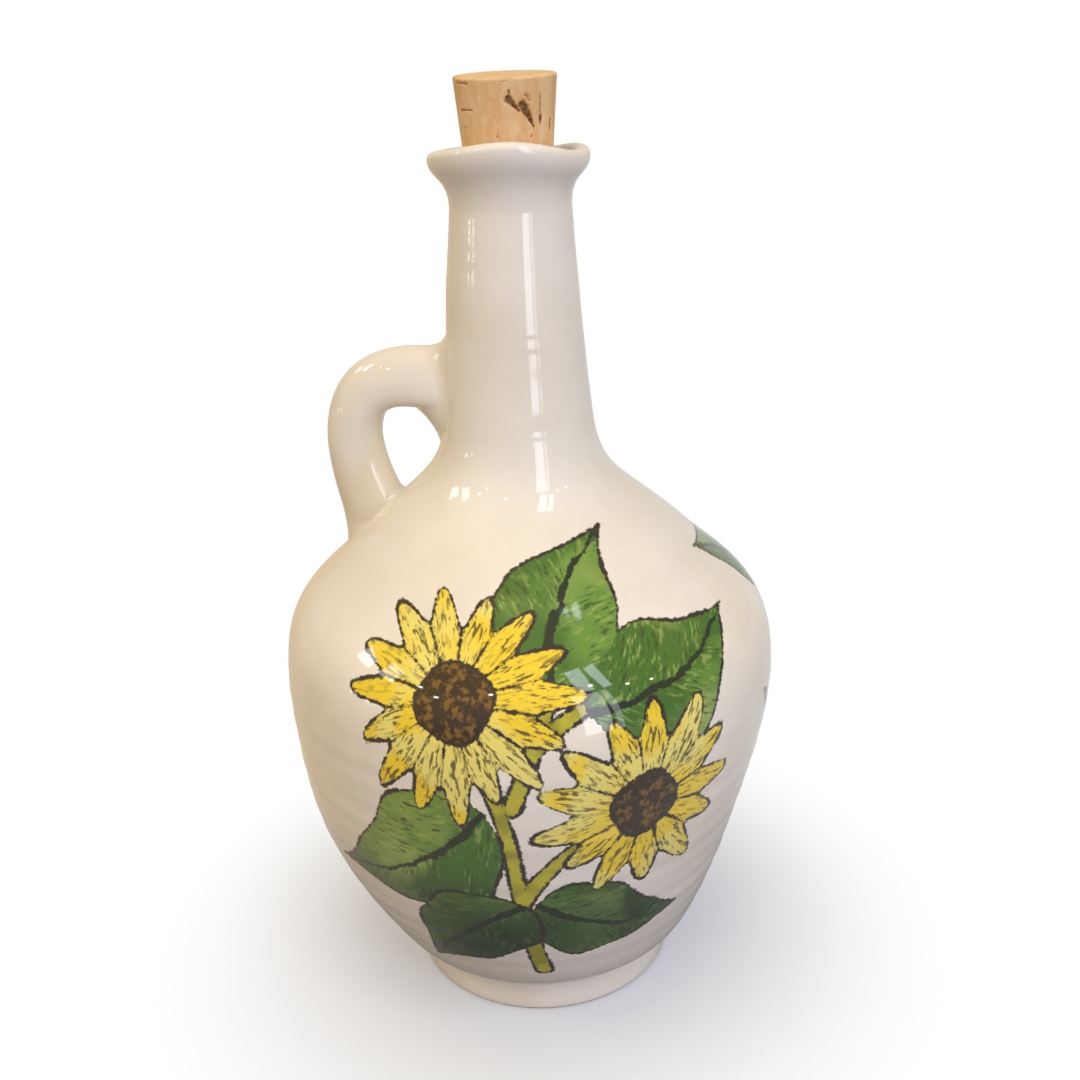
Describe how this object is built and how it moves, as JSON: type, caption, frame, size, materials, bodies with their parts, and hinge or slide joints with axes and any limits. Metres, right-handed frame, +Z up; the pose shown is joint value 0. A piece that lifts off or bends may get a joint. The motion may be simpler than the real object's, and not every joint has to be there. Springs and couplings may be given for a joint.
{
  "type": "oil dispenser bottle",
  "caption": "Glazed ceramic oil bottle with a full belly, long neck, waved pouring lip, loop handle, foot ring and a tapered cork that pulls out.",
  "frame": {"origin": "on the bottle's axis, at the surface that the foot ring stands on", "axes": "+Z up along the bottle's axis and the cork's pull, -Y towards the viewer of the painted side, -X to the handle's side; the handle itself is turned 10 degrees from -X to the back"},
  "size_m": [0.1364, 0.1364, 0.2506],
  "materials": {
    "painted_glaze": "cream tin glaze over a painted flower spray, glossy, finely crazed",
    "glaze": "cream tin glaze, glossy, finely crazed",
    "cork": "natural cork, cut and sanded, with dark pores"
  },
  "bodies": {
    "bottle": {"belly": "painted_glaze", "neck": "glaze", "foot_ring": "glaze", "handle": "glaze", "upper_handle_weld": "glaze", "lower_handle_weld": "glaze"},
    "stopper": {"cork_stopper": "cork"}
  },
  "joints": [
    {"name": "cork_pull", "type": "slide", "parent": "bottle", "child": "stopper", "axis": [0, 0, 1], "range_m": [0, 0.04]}
  ]
}
